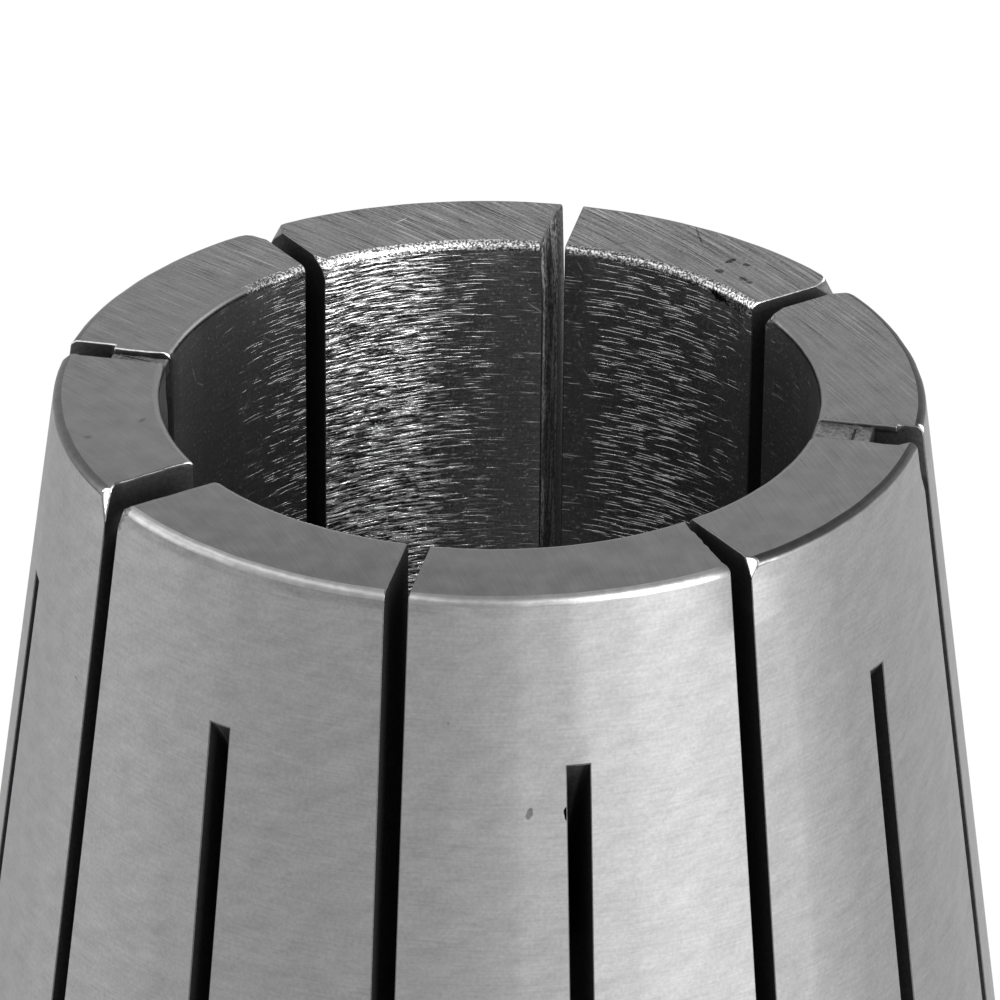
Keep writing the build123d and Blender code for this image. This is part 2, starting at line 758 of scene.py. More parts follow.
    def wear_lip(self, azimuth: float, lip: Lip) -> None:
        """Rounds one lip, and cuts its wall back, by moving the fine mesh round it.

        Args:
            azimuth: direction of the slot.
            lip: the wear.
        """
        turn = self.into_slot(azimuth)
        back = turn.inverted()
        blank = self.blank
        span = blank.rear_radius - blank.bore_radius
        moved = set()
        for vert in self.bm.verts:
            place = turn @ vert.co
            inward = lip.side * place.y - self.half_width
            depth = blank.length - place.z
            if place.x < 0 or depth > self.mouth_depth or not -CLOSE < inward < self.lip_breadth:
                continue
            share = (place.x - blank.bore_radius) / span
            if lip.recess > 0 and inward < CLOSE:
                edge_on = min(1.0, max(lip.recess_rim, (1.0 - share) / self.recess_fade))
                deep = min(1.0, max(0.0, (self.mouth_depth - depth) / (self.mouth_depth - lip.recess_depth)))
                waver = 1.0 + self.recess_waver * noise.noise(Vector((place.x * 1.5, 0.0, azimuth)))
                place.y += lip.side * lip.recess * edge_on * deep * waver
            radius = lip.round_bore + (lip.round_rim - lip.round_bore) * share
            radius *= 1.0 + self.lip_waver * noise.noise(Vector((place.x * 1.2, 3.0, azimuth)))
            radius = min(radius, self.lip_breadth)
            skew = inward - depth
            rim = radius - abs(skew)
            if radius > 0 and rim > 0 and min(inward, depth) < rim:
                angle = (skew + radius) / (2 * radius) * math.pi / 2
                fade = 1.0 - max(0.0, min(inward, depth)) / rim
                start_inward, start_depth = max(skew, 0.0), max(-skew, 0.0)
                end_inward = radius * (1 - math.cos(angle))
                end_depth = radius * (1 - math.sin(angle))
                place.y += lip.side * (end_inward - start_inward) * fade
                place.z -= (end_depth - start_depth) * fade
                moved.add(vert)
            vert.co = back @ place
        for face in self.bm.faces:
            if face.material_index == Zone.WEB.value or not all(vert in moved for vert in face.verts):
                continue
            face.normal_update()
            if self.worn_steepest < abs(face.normal.z) < self.worn_flattest:
                face.material_index = Zone.EDGE.value

    def round_corner(self, azimuth: float, rounding: Rounding) -> None:
        """Cuts a segment's corner off by planes that lean outwards: one if it is polished and painted as a
        glint, or three.

        Args:
            azimuth: direction of the slot.
            rounding: the corner.
        """
        blank, size = self.blank, rounding.size
        across = self.half_width + size
        if rounding.at_rim:
            ring, top = blank.rear_radius - size, blank.length - blank.rim_round
        else:
            ring, top = blank.bore_radius + size, blank.length - blank.rear_mouth
        centre = Vector((math.sqrt(ring**2 - across**2), rounding.side * across, top))
        sideways = Vector((0.0, -rounding.side, 0.0))
        outward = Vector((centre.x, centre.y, 0.0)).normalized()
        if not rounding.at_rim:
            outward.negate()
        zone = Zone.BRIGHT if rounding.bright else Zone.RIM if rounding.at_rim else Zone.MOUTH
        shares = (0.5,) if rounding.bright else (0.25, 0.5, 0.75)
        for share in shares:
            level = sideways.slerp(outward, share)
            normal = (level + Vector((0.0, 0.0, rounding.lean))).normalized()
            self.slice_off(azimuth, centre, normal, normal.dot(centre + level * size), zone)

    def slice_off(self, azimuth: float, centre: Vector, normal: Vector, offset: float, zone: Zone) -> None:
        """Cuts off the corner that stands outside a plane and closes the cut.

        Args:
            azimuth: direction of the slot.
            centre: the centre of the corner's rounding in the slot's frame.
            normal: the plane's unit normal in the slot's frame.
            offset: the plane's distance from the origin along its normal.
            zone: finish of the cut.
        """
        turn = self.into_slot(azimuth)
        outside = []
        for vert in self.bm.verts:
            if vert.co.z < self.blank.length - self.corner_depth:
                continue
            place = turn @ vert.co
            if place.x < 0 or place.dot(normal) < offset + CLOSE / 2:
                continue
            from_centre = place - centre
            if from_centre.x * normal.x > 0 and from_centre.y * normal.y > 0 and place.y * centre.y > 0:
                outside.append(vert)
        if outside:
            faces = list({face for vert in outside for face in vert.link_faces})
            self.cut_plane(faces, azimuth, normal, offset, clear=True)
            self.fill_holes(zone)

    def sharp_edges(self) -> list[BMEdge]:
        """Finds the outward edges that turn by more than the sharp angle."""
        least = math.radians(self.sharp_angle)
        outward = [edge for edge in self.bm.edges if edge.is_manifold and edge.is_convex]
        return [edge for edge in outward if edge.calc_face_angle(0.0) > least]

    def break_edges(self) -> None:
        """Takes the sharpness off every outward edge."""
        broken = bmesh.ops.bevel(
            self.bm,
            geom=self.sharp_edges(),
            offset=self.edge_break,
            offset_type="OFFSET",
            segments=self.edge_segments,
            profile=0.5,
            affect="EDGES",
            clamp_overlap=False,
            material=-1,
        )
        for face in broken["faces"]:
            # polished edges get the finish with painted glints
            face.material_index = (Zone.BRIGHT if self.is_polished_and_glinting(face) else Zone.EDGE).value
        for vert in self.bm.verts:
            vert.co.z = min(vert.co.z, self.blank.length)
        LOG.info("edge faces: %d", len(broken["faces"]))

    def is_polished_and_glinting(self, face: BMFace) -> bool:
        """Says whether a broken edge lies at a slot's edge that wear has polished and that is painted with
        glints.
        """
        middle = face.calc_center_median()
        if middle.z < self.blank.length - self.polish_and_glint_depth:
            return False
        breadth = self.half_width + self.lip_breadth
        places = [(mouth.bright_side, self.into_slot(mouth.azimuth) @ middle) for mouth in MOUTHS]
        return any(p.x > self.blank.bore_radius and 0 < side * p.y < breadth for side, p in places)


Number = Union[float, "Signal"]


class Signal:
    """A shader socket that takes part in Python expressions.

    An expression on signals adds the Math nodes that work it out.
    """

    def __init__(self, shade: "Shade", socket: bpy.types.NodeSocket) -> None:
        """Wraps a socket of a material's tree."""
        self.shade = shade
        self.socket = socket

    def __add__(self, other: Number) -> "Signal":
        """Sum."""
        return self.shade.math("ADD", self, other)

    __radd__ = __add__

    def __sub__(self, other: Number) -> "Signal":
        """Difference."""
        return self.shade.math("SUBTRACT", self, other)

    def __rsub__(self, other: Number) -> "Signal":
        """Difference from a number."""
        return self.shade.math("SUBTRACT", other, self)

    def __mul__(self, other: Number) -> "Signal":
        """Product."""
        return self.shade.math("MULTIPLY", self, other)

    __rmul__ = __mul__


@dataclass(frozen=True)
class Polar:
    """A surface point in the collet's own cylinder coordinates, in millimetres and radians."""

    place: Signal
    across: Signal
    away: Signal
    height: Signal
    radius: Signal
    azimuth: Signal

    @property
    def degrees(self) -> Signal:
        """Direction about the axis, in degrees."""
        return self.azimuth * DEGREES

    @property
    def arc(self) -> Signal:
        """Length of the arc about the axis."""
        return self.azimuth * self.radius


class Shade:
    """The node tree of a material or of the world."""

    def __init__(self, owner: Union[bpy.types.Material, bpy.types.World]) -> None:
        """Starts an empty node tree.

        Args:
            owner: the material or the world that the tree belongs to.
        """
        self.owner = owner
        owner.use_nodes = True
        self.tree = owner.node_tree
        self.tree.nodes.clear()

    @classmethod
    def of_material(cls, name: str) -> "Shade":
        """Starts the tree of a new material."""
        return cls(bpy.data.materials.new(name))

    def node(
        self,
        kind: str,
        settings: Optional[dict[str, Any]] = None,
        sockets: Optional[dict[Union[str, int], Any]] = None,
    ) -> bpy.types.Node:
        """Adds a node.

        Args:
            kind: the node's type.
            settings: its settings, made before its sockets are fed.
            sockets: values or signals for its sockets.

        Returns:
            The node.
        """
        node = self.tree.nodes.new(kind)
        for name, value in (settings or {}).items():
            setattr(node, name, value)
        for key, value in (sockets or {}).items():
            if isinstance(value, Signal):
                self.tree.links.new(value.socket, node.inputs[key])
            else:
                node.inputs[key].default_value = value
        return node

    def math(self, operation: str, *values: Number) -> Signal:
        """Works out one operation on numbers, given in order."""
        node = self.node("ShaderNodeMath", {"operation": operation}, dict(enumerate(values)))
        return Signal(self, node.outputs[0])

    def vector(self, x: Number, y: Number, z: Number = 0.0) -> Signal:
        """Joins three numbers into a vector."""
        node = self.node("ShaderNodeCombineXYZ", sockets={0: x, 1: y, 2: z})
        return Signal(self, node.outputs[0])

    def polar(self) -> Polar:
        """Reads where the surface point lies on the collet, from Object coordinates."""
        coordinates = Signal(self, self.node("ShaderNodeTexCoord").outputs["Object"])
        scale = {"Vector": coordinates, "Scale": 1.0 / MM}
        scaled = self.node("ShaderNodeVectorMath", {"operation": "SCALE"}, scale)
        place = Signal(self, scaled.outputs["Vector"])
        split = self.node("ShaderNodeSeparateXYZ", sockets={0: place})
        x, y, z = (Signal(self, output) for output in split.outputs)
        radius = self.math("SQRT", x * x + y * y)
        return Polar(place, x, y, z, radius, self.math("ARCTAN2", y, x))

    def grain(self, vector: Signal, scale: float, detail: float = 2.0, roughness: float = 0.5) -> Signal:
        """Soft noise from 0 to 1, with so many grains to each unit of the vector."""
        sockets = {"Vector": vector, "Scale": scale, "Detail": detail, "Roughness": roughness}
        node = self.node("ShaderNodeTexNoise", {"noise_dimensions": "3D"}, sockets)
        return Signal(self, node.outputs["Fac"])

    def streaks(
        self, along: Signal, length: float, across: Signal, width: float, detail: float,
        roughness: float = 0.5, shift: Number = 0.0,
    ) -> Signal:
        """Soft noise from 0 to 1, drawn out one way.

        Args:
            along: what rises along the streaks.
            length: their length.
            across: what rises across them.
            width: their width.
            detail: octaves.
            roughness: strength of the finer octaves.
            shift: tells one layer of streaks from another.

        Returns:
            The noise, about 0.5 on average.
        """
        place = self.vector(along * (1 / length), across * (1 / width), shift)
        return self.grain(place, 1.0, detail, roughness)

    def step(self, value: Signal, low: float, high: float, start: float = 0.0, stop: float = 1.0) -> Signal:
        """Smooth step from start to stop, taken between a low and a high value."""
        sockets = {0: value, 1: low, 2: high, 3: start, 4: stop}
        node = self.node("ShaderNodeMapRange", {"interpolation_type": "SMOOTHSTEP"}, sockets)
        return Signal(self, node.outputs[0])

    def profile(self, value: Signal, knots: Knots) -> Number:
        """Goes smoothly from level to level.

        Args:
            value: what is read.
            knots: places in rising order, each with its level.

        Returns:
            The level at the value.
        """
        (place, level), *others = knots
        total: Number = level
        for after, target in others:
            total = self.step(value, place, after, 0.0, target - level) + total
            place, level = after, target
        return total

    def bump(self, height: Signal) -> Signal:
        """Turns a height in millimetres into a normal."""
        node = self.node("ShaderNodeBump", sockets={"Height": height, "Strength": 1.0, "Distance": MM})
        return Signal(self, node.outputs[0])

    def grey(self, level: Signal) -> Signal:
        """Turns a level from 0 to 1 into a neutral colour between black and white."""
        sockets = {0: level, 6: BLACK, 7: WHITE}
        node = self.node("ShaderNodeMix", {"data_type": "RGBA", "clamp_factor": True}, sockets)
        return Signal(self, node.outputs[2])

    def steel(
        self, level: Signal, roughness: float, normal: Signal, anisotropy: float = 0.0,
        edge_tint: float = 1.0,
    ) -> bpy.types.Material:
        """Finishes the material as bare steel.

        Args:
            level: how light the steel is.
            roughness: its roughness.
            normal: its bumped normal.
            anisotropy: how much the turned or ground lines, which run round the axis, draw its
                highlights out along the axis.
            edge_tint: how much of its reflection it keeps where it is seen along the surface.

        Returns:
            The material.
        """
        surface = self.node(
            "ShaderNodeBsdfPrincipled",
            sockets={
                "Base Color": self.grey(level),
                "Metallic": 1.0,
                "Roughness": roughness,
                "Normal": normal,
                "Anisotropic": anisotropy,
                "Anisotropic Rotation": 0.25,
                "Specular Tint": (edge_tint, edge_tint, edge_tint, 1.0),
            },
        )
        output = self.node("ShaderNodeOutputMaterial")
        self.tree.links.new(surface.outputs[0], output.inputs["Surface"])
        return self.owner


@dataclass(frozen=True)
class Mark:
    """A pit, nick, scratch or fleck, placed by two lengths on its surface.

    Attributes:
        across: its place along the surface's first direction.
        along: its place along the surface's second direction.
        length: half its length.
        width: half its width.
        turn: direction of its length, from the surface's first direction.
        change: what it adds to the steel's lightness.
    """

    across: float
    along: float
    length: float
    width: float
    turn: float = 0.0
    change: float = -0.12

    def mask(self, shade: Shade, across: Signal, along: Signal, waver: Signal) -> Signal:
        """Says where the mark is.

        Args:
            shade: the tree.
            across: the surface's first direction.
            along: the surface's second direction.
            waver: noise that makes its outline ragged.

        Returns:
            1 inside the mark and 0 outside it.
        """
        turn = math.radians(self.turn)
        from_across, from_along = across - self.across, along - self.along
        lengthways = (from_across * math.cos(turn) + from_along * math.sin(turn)) * (1 / self.length)
        sideways = (from_along * math.cos(turn) - from_across * math.sin(turn)) * (1 / self.width)
        spread = lengthways * lengthways + sideways * sideways + waver
        return shade.step(spread, 0.5, 1.1, 1.0, 0.0)


def with_marks(
    shade: Shade, marks: tuple[Mark, ...], across: Signal, along: Signal, waver: Signal
) -> Number:
    """Adds up what a surface's marks change in its lightness.

    Args:
        shade: the tree.
        marks: the marks.
        across: the surface's first direction.
        along: the surface's second direction.
        waver: noise that makes their outlines ragged.

    Returns:
        The change.
    """
    change: Number = 0.0
    for mark in marks:
        change = mark.mask(shade, across, along, waver) * mark.change + change
    return change


TAPER_MARKS = (
    Mark(-16.30, 34.06, 0.19, 0.09, -120, -0.12),
    Mark(-15.31, 33.99, 0.24, 0.1, -92, -0.3),
    Mark(-25.10, 37.28, 0.07, 0.05, -27, 0.05),
    Mark(-30.80, 34.33, 0.06, 0.04, -25, -0.15),
    Mark(-17.95, 36.57, 0.06, 0.06, -13, -0.05),
)

FACE_MARKS = (
    Mark(3.90, 10.58, 0.61, 0.035, -70, -0.14),
    Mark(5.07, 9.14, 0.22, 0.1, 54, -0.16),
    Mark(4.87, 8.44, 0.15, 0.12, -40, -0.16),
    Mark(5.55, 9.00, 0.13, 0.08, -33, -0.14),
    Mark(5.61, 8.09, 0.18, 0.1, -46, -0.16),
    Mark(5.81, 7.91, 0.12, 0.09, -8, -0.14),
    Mark(1.80, 9.56, 0.38, 0.02, 38, -0.1),
    Mark(2.05, 9.12, 0.17, 0.05, -10, -0.1),
    Mark(-4.60, 9.66, 0.24, 0.03, 56, 0.25),
    Mark(-8.78, -3.90, 0.15, 0.08, 65, -0.06),
    Mark(-9.96, -5.17, 0.12, 0.1, 41, -0.06),
)

BORE_MARKS = (
    Mark(13.37, 39.45, 0.18, 0.025, -121, 0.45),
    Mark(12.04, 38.32, 0.19, 0.025, -131, 0.45),
    Mark(8.27, 39.28, 0.35, 0.025, -171, 0.4),
    Mark(7.60, 39.10, 0.34, 0.025, -159, 0.4),
    Mark(13.35, 36.99, 0.11, 0.035, -107, 0.5),
    Mark(13.05, 35.96, 0.36, 0.025, -127, 0.45),
    Mark(26.36, 38.46, 0.34, 0.025, -112, 0.45),
    Mark(26.00, 38.00, 0.27, 0.025, -148, 0.45),
    Mark(23.36, 37.05, 0.14, 0.025, -50, 0.45),
    Mark(22.90, 38.14, 0.27, 0.025, -146, 0.45),
    Mark(14.64, 37.97, 0.31, 0.025, -147, 0.5),
    # painted highlight: a white glint at the mouth beside a slot's corner
    Mark(27.93, 39.88, 0.1, 0.09, 0, 0.9),
)

# painted highlight: a white glint on the rim beside a slot's corner
RIM_PAINTED_GLINT = (Mark(0.43, 39.86, 0.14, 0.13, 0, 0.9),)

# painted shade: a dark patch where a hollow among the reamer's grains lies in shade; the hollow itself is
# not modelled
HOLLOW_SHADE = Mark(8.75, 39.62, 0.42, 0.2, -168)

WEB_MARKS = (
    Mark(10.11, -0.43, 0.44, 0.045, -90, -0.2),
    Mark(9.82, 0.20, 0.22, 0.035, 3, -0.2),
    Mark(-10.01, -0.19, 0.48, 0.04, -13, -0.2),
)


@dataclass(frozen=True)
class GroundTaper:
    """Fine ground outside: faint lines round the taper under a soft slanting mottle.

    Just below the rim, on one side only, it is darkened in patches: a painted shadow line.
    """

    level: float = 0.25
    roughness: float = 0.6
    anisotropy: float = 0.6
    line_width: float = 0.07
    line_length: float = 1.2
    line_height: float = 0.0015
    line_contrast: float = 0.35
    mottle_size: float = 1.6
    mottle_contrast: float = 0.4
    speck_contrast: float = 0.4
    # painted shadow line just below the rim: its strength, its height and the side it lies on
    painted_rim_shadow: float = 0.22
    painted_rim_shadow_foot: tuple[float, float] = (39.45, 39.6)
    patch_edge: tuple[float, float] = (0.42, 0.55)
    painted_rim_shadow_side: Knots = ((-134.0, 0.0), (-128.0, 1.0), (-80.0, 1.0), (-72.0, 0.0))

    def material(self) -> bpy.types.Material:
        """Makes the finish."""
        shade = Shade.of_material("ground_taper")
        at = shade.polar()
        arc = at.arc
        lines = shade.streaks(arc, self.line_length, at.height, self.line_width, 3.0, 0.6)
        slant = shade.streaks(
            arc + at.height, self.mottle_size, at.height - arc * 0.5, self.mottle_size / 3, 3.0, 0.6
        )
        speck = shade.grain(at.place, 10.0, 2.0, 0.6)
        change = with_marks(shade, TAPER_MARKS, arc, at.height, (speck - 0.5) * 1.2)
        patches = shade.step(shade.grain(shade.vector(arc * 0.5, 3.0), 1.0, 1.0), *self.patch_edge)
        # painted shadow: a dark line in patches just below the rim, on one side only
        painted_rim_shadow = shade.step(at.height, *self.painted_rim_shadow_foot) * patches * shade.profile(at.degrees, self.painted_rim_shadow_side)
        mottle = (lines - 0.5) * self.line_contrast + (slant - 0.5) * self.mottle_contrast
        mottle = mottle + (speck - 0.5) * self.speck_contrast
        level = self.level * (1.0 + mottle - painted_rim_shadow * self.painted_rim_shadow) + change
        return shade.steel(level, self.roughness, shade.bump(lines * self.line_height), self.anisotropy)


@dataclass(frozen=True)
class GroundFace:
    """Surface-ground end face: scratches that bend gently right across it."""

    level: float = 0.19
    roughness: float = 0.42
    wheel_x: float = -25.6
    wheel_y: float = -24.6
    wheel_reach: float = 35.0
    fine_width: float = 0.06
    broad_width: float = 0.2
    scratch_length: float = 2.4
    scratch_height: float = 0.004
    fine_contrast: float = 2.2
    broad_contrast: float = 0.8
    grit_contrast: float = 1.0
    mottle_contrast: float = 0.5
    dark_line: float = 0.45
    light_line: float = 0.6
    crisp: Knots = ((-5.0, 0.12), (3.0, 0.5), (7.5, 1.0), (11.0, 1.6))
    # painted shade: the face grows darker towards -y
    tone: Knots = ((-12.0, 0.68), (-8.0, 0.8), (-4.0, 0.88), (10.0, 0.92))

    def scratches(self, shade: Shade, at: Polar, width: float, shift: float) -> Signal:
        """Noise drawn out along the wheel's path.

        Args:
            shade: the tree.
            at: the surface point.
            width: width of the scratches.
            shift: tells one layer of scratches from another.

        Returns:
            The noise, from 0 to 1.
        """
        x = at.across - self.wheel_x
        y = at.away - self.wheel_y
        from_wheel = shade.math("SQRT", x * x + y * y)
        round_wheel = shade.math("ARCTAN2", y, x) * self.wheel_reach
        return shade.streaks(round_wheel, self.scratch_length, from_wheel, width, 3.0, 0.65, shift)

    def material(self) -> bpy.types.Material:
        """Makes the finish."""
        shade = Shade.of_material("ground_face")
        at = shade.polar()
        fine = self.scratches(shade, at, self.fine_width, 0.0)
        broad = self.scratches(shade, at, self.broad_width, 7.0)
        dark = shade.step(fine, 0.3, 0.4, 1.0, 0.0)
        light = shade.step(fine, 0.6, 0.7)
        crispness = shade.profile(at.away, self.crisp)
        mottle = shade.grain(at.place, 1.3, 3.0)
        waver = (shade.grain(at.place, 12.0, 2.0) - 0.5) * 2.0
        marks = with_marks(shade, FACE_MARKS, at.across, at.away, waver)
        grit = shade.grain(at.place, 11.0, 2.0, 0.6)
        change = (fine - 0.5) * self.fine_contrast + (broad - 0.5) * self.broad_contrast
        change = change + (grit - 0.5) * self.grit_contrast - dark * self.dark_line + light * self.light_line
        # painted shade: tone darkens the face towards -y
        tone = shade.profile(at.away, self.tone)
        level = self.level * (tone + change * crispness + (mottle - 0.5) * self.mottle_contrast) + marks
        return shade.steel(level, self.roughness, shade.bump((fine + broad) * self.scratch_height))


@dataclass(frozen=True)
class TornRing:
    """Coarse grains that the reamer tore round part of the bore's rear mouth, their glitter painted as
    glints that are brightest on one side.
    """

    grain_size: float = 0.065
    # how much the painted shade of the hollow darkens the grains
    hollow: float = 0.93
    painted_grain_glint: Knots = ((0.42, 0.14), (0.62, 1.0))
    # painted highlight: how light the grains are by direction about the axis, brightest on the side where
    # glints fall
    ring: Knots = (
        (45.0, 0.8), (58.0, 0.42), (90.0, 0.4), (95.0, 0.55),
        (112.0, 0.8), (132.0, 1.0), (137.0, 0.7), (149.0, 0.4),
    )
    there: Knots = ((38.0, 0.0), (47.0, 1.0), (144.0, 1.0), (155.0, 0.0))
    foot: Knots = ((40.0, 39.5), (53.0, 39.5), (61.0, 39.76), (130.0, 39.74))

    def cover(self, shade: Shade, at: Polar, plain: Signal) -> Signal:
        """Lays the grains over the bore's own finish.

        Args:
            shade: the tree.
            at: the surface point.
            plain: how light the bore is without them.

        Returns:
            The steel's lightness.
        """
        degrees = at.degrees
        grains = shade.grain(at.place, 1 / self.grain_size, 1.5, 0.55)
        # painted shade of a hollow among the grains
        hollow = HOLLOW_SHADE.mask(shade, at.arc, at.height, (grains - 0.5) * 1.5)
        ragged = shade.grain(at.place, 5.0, 2.0) - 0.5
        above = at.height + ragged * 0.4 - shade.profile(degrees, self.foot)
        there = shade.profile(degrees, self.there) + (grains - 0.5) * 1.2
        reach = shade.step(above, -0.03, 0.05) * shade.step(there, 0.35, 0.65)
        # painted highlight: grains lit white as glints, more on one side
        level = shade.profile(grains, self.painted_grain_glint) * shade.profile(degrees, self.ring)
        return plain + (level * (1.0 - hollow * self.hollow) - plain) * reach


@dataclass(frozen=True)
class TurnedBore:
    """Turned bore: short straight dashes that the tool tore round it, thickest on one side, where they and
    the hairs are painted bright as glints.
    """

    level: float = 0.4
    bright: float = 0.85
    roughness: float = 0.3
    bore_radius: float = 9.0
    dash_width: float = 0.075
    dash_length: float = 0.75
    dash_gain: float = 0.2
    dash_height: float = 0.04
    hair_width: float = 0.04
    hair_length: float = 1.1
    hair_gain: float = 0.11
    hair_height: float = 0.01
    hair_contrast: float = 0.6
    hairy_hair: float = 0.36
    plain_hair: float = 0.2
    grit_height: float = 0.006
    grit_contrast: float = 0.8
    speck_level: float = 0.45
    tone: float = 0.92
    torn_loss: float = 0.7
    slant: float = 0.02
    wander: float = 0.12
    edge: tuple[float, float] = (0.69, 0.77)
    # painted shade over the mouth's arc, and a painted highlight along its top
    mouth_painted_shade: Knots = ((39.78, 1.0), (39.84, 0.08))
    mouth_painted_highlight: Knots = ((39.87, 0.0), (39.93, 0.15))
    # where the dashes are ripped, and where they are painted bright as glints
    torn_and_glinting: Knots = (
        (88.0, 0.0), (100.0, 0.3), (106.0, 0.5), (116.0, 1.0), (133.0, 1.0), (137.0, 0.35), (150.0, 0.0)
    )
    # how strong the hairs are by direction about the axis, and where they are painted bright as glints
    hairy_and_glinting: Knots = (
        (47.0, 0.2), (58.0, 0.55), (66.0, 1.0), (79.0, 0.9), (86.0, 0.2), (98.0, 0.12), (106.0, 0.6),
        (112.0, 0.8), (139.0, 0.9), (147.0, 0.45), (158.0, 0.0),
    )
    # painted light: dashes lighter the deeper they lie in the bore
    lift: Knots = ((31.0, 1.95), (36.0, 1.55), (39.3, 0.85))
    # painted shade: the bore darker over part of its round, by direction about the axis
    painted_shade_round: Knots = ((-100.0, 1.0), (-40.0, 0.65), (40.0, 0.62), (56.0, 0.76), (90.0, 0.78), (102.0, 1.0))

    def material(self) -> bpy.types.Material:
        """Makes the finish."""
        shade = Shade.of_material("turned_bore")
        at = shade.polar()
        degrees = at.degrees
        arc = at.azimuth * self.bore_radius
        wander = shade.streaks(arc, 2.0, at.height, 1.25, 1.0)
        line = at.height + arc * self.slant + (wander - 0.5) * self.wander
        dashes = shade.streaks(arc, self.dash_length, line, self.dash_width, 3.0, 0.55)
        hairs = shade.streaks(arc, self.hair_length, line, self.hair_width, 1.0, shift=5.0)
        grit = shade.grain(at.place, 13.0, 2.0)
        torn_and_glinting = shade.profile(degrees, self.torn_and_glinting)
        hairy_and_glinting = shade.profile(degrees, self.hairy_and_glinting)
        # painted light by depth in the bore
        lift = shade.profile(at.height, self.lift)
        dash = shade.step(dashes + torn_and_glinting * self.dash_gain, *self.edge) * shade.step(torn_and_glinting, 0.0, 0.3)
        strength = hairy_and_glinting * self.hairy_hair + self.plain_hair
        hair = shade.step(hairs + hairy_and_glinting * self.hair_gain, *self.edge) * strength
        speck = shade.step(grit, 0.64, 0.72)
        change = with_marks(shade, BORE_MARKS, arc, at.height, (grit - 0.5) * 0.8)
        tone = self.tone + (hairs - 0.5) * self.hair_contrast + (grit - 0.5) * self.grit_contrast
        # painted shade by direction about the axis
        base = self.level * (tone - torn_and_glinting * self.torn_loss) * shade.profile(degrees, self.painted_shade_round)
        # painted highlight: bright dashes and hairs as glints
        plain = base + dash * lift * self.bright + hair * self.bright + speck * self.speck_level + change
        # painted shade on the mouth's arc, then a painted highlight along its top
        plain = plain * shade.profile(at.height, self.mouth_painted_shade)
        plain = plain + shade.profile(at.height, self.mouth_painted_highlight)
        level = TornRing().cover(shade, at, plain)
        bump = dashes * torn_and_glinting * self.dash_height + hair * self.hair_height + grit * self.grit_height
        return shade.steel(level, self.roughness, shade.bump(bump))


@dataclass(frozen=True)
class SawnWall:
    """Walls of the slots: plain and dark, but for one wall with tear marks, whose streaks are painted bright
    as glints.
    """

    level: float = 0.06
    roughness: float = 0.55
    edge_tint: float = 0.25
    contrast: float = 0.8
    grit_height: float = 0.01
    torn_bright: float = 0.75
    torn_dark: float = 0.12
    torn_grit: float = 0.4
    streak_width: float = 0.3
    streak_length: float = 1.8
    # the one wall whose streaks are painted bright, and how bright they are painted along it
    seen: Knots = ((-0.9, 0.0), (-0.8, 1.0), (-0.25, 1.0), (-0.2, 0.0))
    torn_and_glinting: Knots = ((8.9, 0.25), (9.3, 1.0), (9.9, 0.45), (10.6, 0.9), (11.2, 0.8), (11.4, 0.0))

    def material(self) -> bpy.types.Material:
        """Makes the finish."""
        shade = Shade.of_material("sawn_wall")
        at = shade.polar()
        streaks = shade.streaks(at.away, self.streak_width, at.height, self.streak_length, 4.0, 0.65)
        grit = shade.grain(at.place, 9.0, 2.0)
        there = shade.step(at.away, 8.4, 8.8) * shade.profile(at.across, self.seen)
        # painted highlight: bright streaks on that one wall
        bright = shade.step(streaks + (grit - 0.5) * 0.5, 0.45, 0.62) * shade.profile(at.away, self.torn_and_glinting)
        torn_and_glinting = bright * self.torn_bright + (grit - 0.5) * self.torn_grit + self.torn_dark
        level = self.level * (1.0 + (grit - 0.5) * self.contrast) + there * torn_and_glinting
        normal = shade.bump(grit * self.grit_height)
        return shade.steel(level, self.roughness, normal, edge_tint=self.edge_tint)


@dataclass(frozen=True)
class RoundedRim:
    """Rounded rim of the rear face, with a painted highlight on one side and painted shade on the other."""

    roughness: float = 0.4
    grain_height: float = 0.012
    # painted shade: the side where the rim is dark; its foot is lifted to match the taper
    painted_dark_side: Knots = ((-48.0, 0.0), (-42.0, 1.0), (40.0, 1.0), (50.0, 0.0))
    foot: Knots = ((39.82, 0.2), (39.9, 0.0))
    # painted highlight and shade: the rim's lightness by direction about the axis
    ring: Knots = (
        (-180.0, 0.1), (-140.0, 0.08), (-130.0, 0.3), (-92.0, 0.26), (-80.0, 0.2), (-62.0, 0.26),
        (-50.0, 0.26), (-43.0, 0.035), (40.0, 0.04), (60.0, 0.16), (160.0, 0.16), (180.0, 0.1),
    )

    def material(self) -> bpy.types.Material:
        """Makes the finish."""
        shade = Shade.of_material("rounded_rim")
        at = shade.polar()
        grains = shade.grain(at.place, 3.0, 3.0, 0.6)
        change = with_marks(shade, RIM_PAINTED_GLINT, at.arc, at.height, (grains - 0.5) * 0.8)
        # painted highlight and shade by direction about the axis
        blend = shade.profile(at.degrees, self.painted_dark_side) * shade.profile(at.height, self.foot)
        level = (shade.profile(at.degrees, self.ring) + blend) * (1.0 + (grains - 0.5) * 0.7) + change
        return shade.steel(level, self.roughness, shade.bump(grains * self.grain_height))


